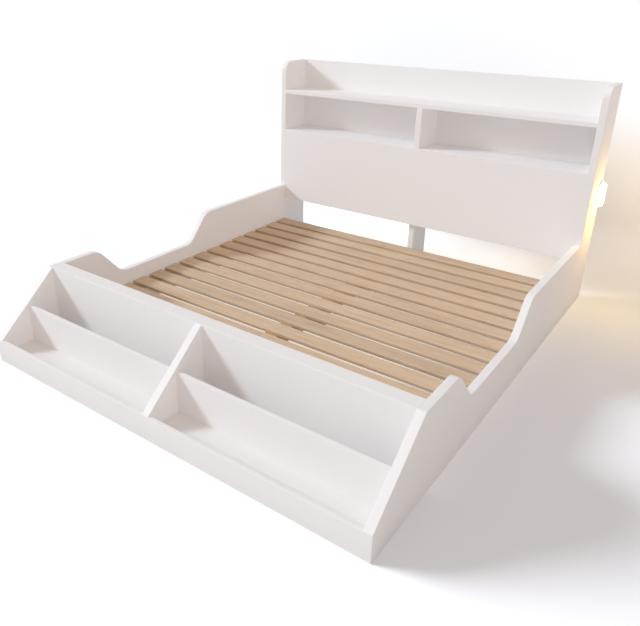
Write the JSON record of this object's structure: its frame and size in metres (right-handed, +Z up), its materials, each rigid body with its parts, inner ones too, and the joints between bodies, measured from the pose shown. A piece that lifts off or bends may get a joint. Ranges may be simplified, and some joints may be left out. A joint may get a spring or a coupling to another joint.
{
  "type": "double bed with shelves",
  "caption": "Low white double bed with scooped side rails, a slatted base, a shelved headboard with a small side light, and a sloping two-tier book rack at the foot.",
  "frame": {"origin": "on the floor under the centre of the frame, at the glide of the centre beam's middle leg; x = 0 is the frame's middle plane", "axes": "+X to the right across the bed as seen from its foot, +Y from the foot rack to the headboard, +Z up"},
  "size_m": [2.112, 2.56, 1.255],
  "materials": {
    "white_board": "satin off-white paint on solid board",
    "batten_wood": "planed softwood, unpainted",
    "slat_wood": "planed light hardwood, clear matt lacquer",
    "steel": "zinc-plated",
    "glide_plastic": "matt",
    "light_plastic": "gloss",
    "light_cover": "opal, lit warm from inside",
    "light_board": "matt board with small lamps"
  },
  "bodies": {
    "root": {"side_rail_left": "white_board", "side_rail_right": "white_board", "headboard_side_left": "white_board", "headboard_side_right": "white_board", "headboard_back_panel": "white_board", "headboard_top_shelf": "white_board", "headboard_cubby_floor": "white_board", "headboard_cubby_divider": "white_board", "headboard_front_panel": "white_board", "headboard_bottom_board": "white_board", "headboard_inner_partition": "white_board", "headboard_centre_leg": "white_board", "footboard": "white_board", "rack_back_panel": "white_board", "rack_mid_panel_left": "white_board", "rack_mid_panel_right": "white_board", "rack_lip": "white_board", "rack_floor": "white_board", "rack_centre_divider": "white_board", "rack_floor_bearers": "batten_wood", "ledger_left": "batten_wood", "ledger_right": "batten_wood", "centre_beam": "batten_wood", "beam_leg_front": "batten_wood", "beam_leg_middle": "batten_wood", "beam_leg_rear": "batten_wood", "slat_01": "slat_wood", "slat_02": "slat_wood", "slat_03": "slat_wood", "slat_04": "slat_wood", "slat_05": "slat_wood", "slat_06": "slat_wood", "slat_07": "slat_wood", "slat_08": "slat_wood", "slat_09": "slat_wood", "slat_10": "slat_wood", "slat_11": "slat_wood", "slat_12": "slat_wood", "slat_13": "slat_wood", "slat_14": "slat_wood", "slat_15": "slat_wood", "head_joint_plates": "steel", "foot_corner_brackets": "steel", "beam_hanger": "steel", "beam_rear_bracket": "steel", "fitting_screws": "steel", "ledger_screws": "steel", "slat_screws": "steel", "footboard_bolts": "steel", "leg_glides": "glide_plastic", "light_base": "light_plastic", "light_cover": "light_cover", "light_led_board": "light_board"}
  },
  "joints": []
}
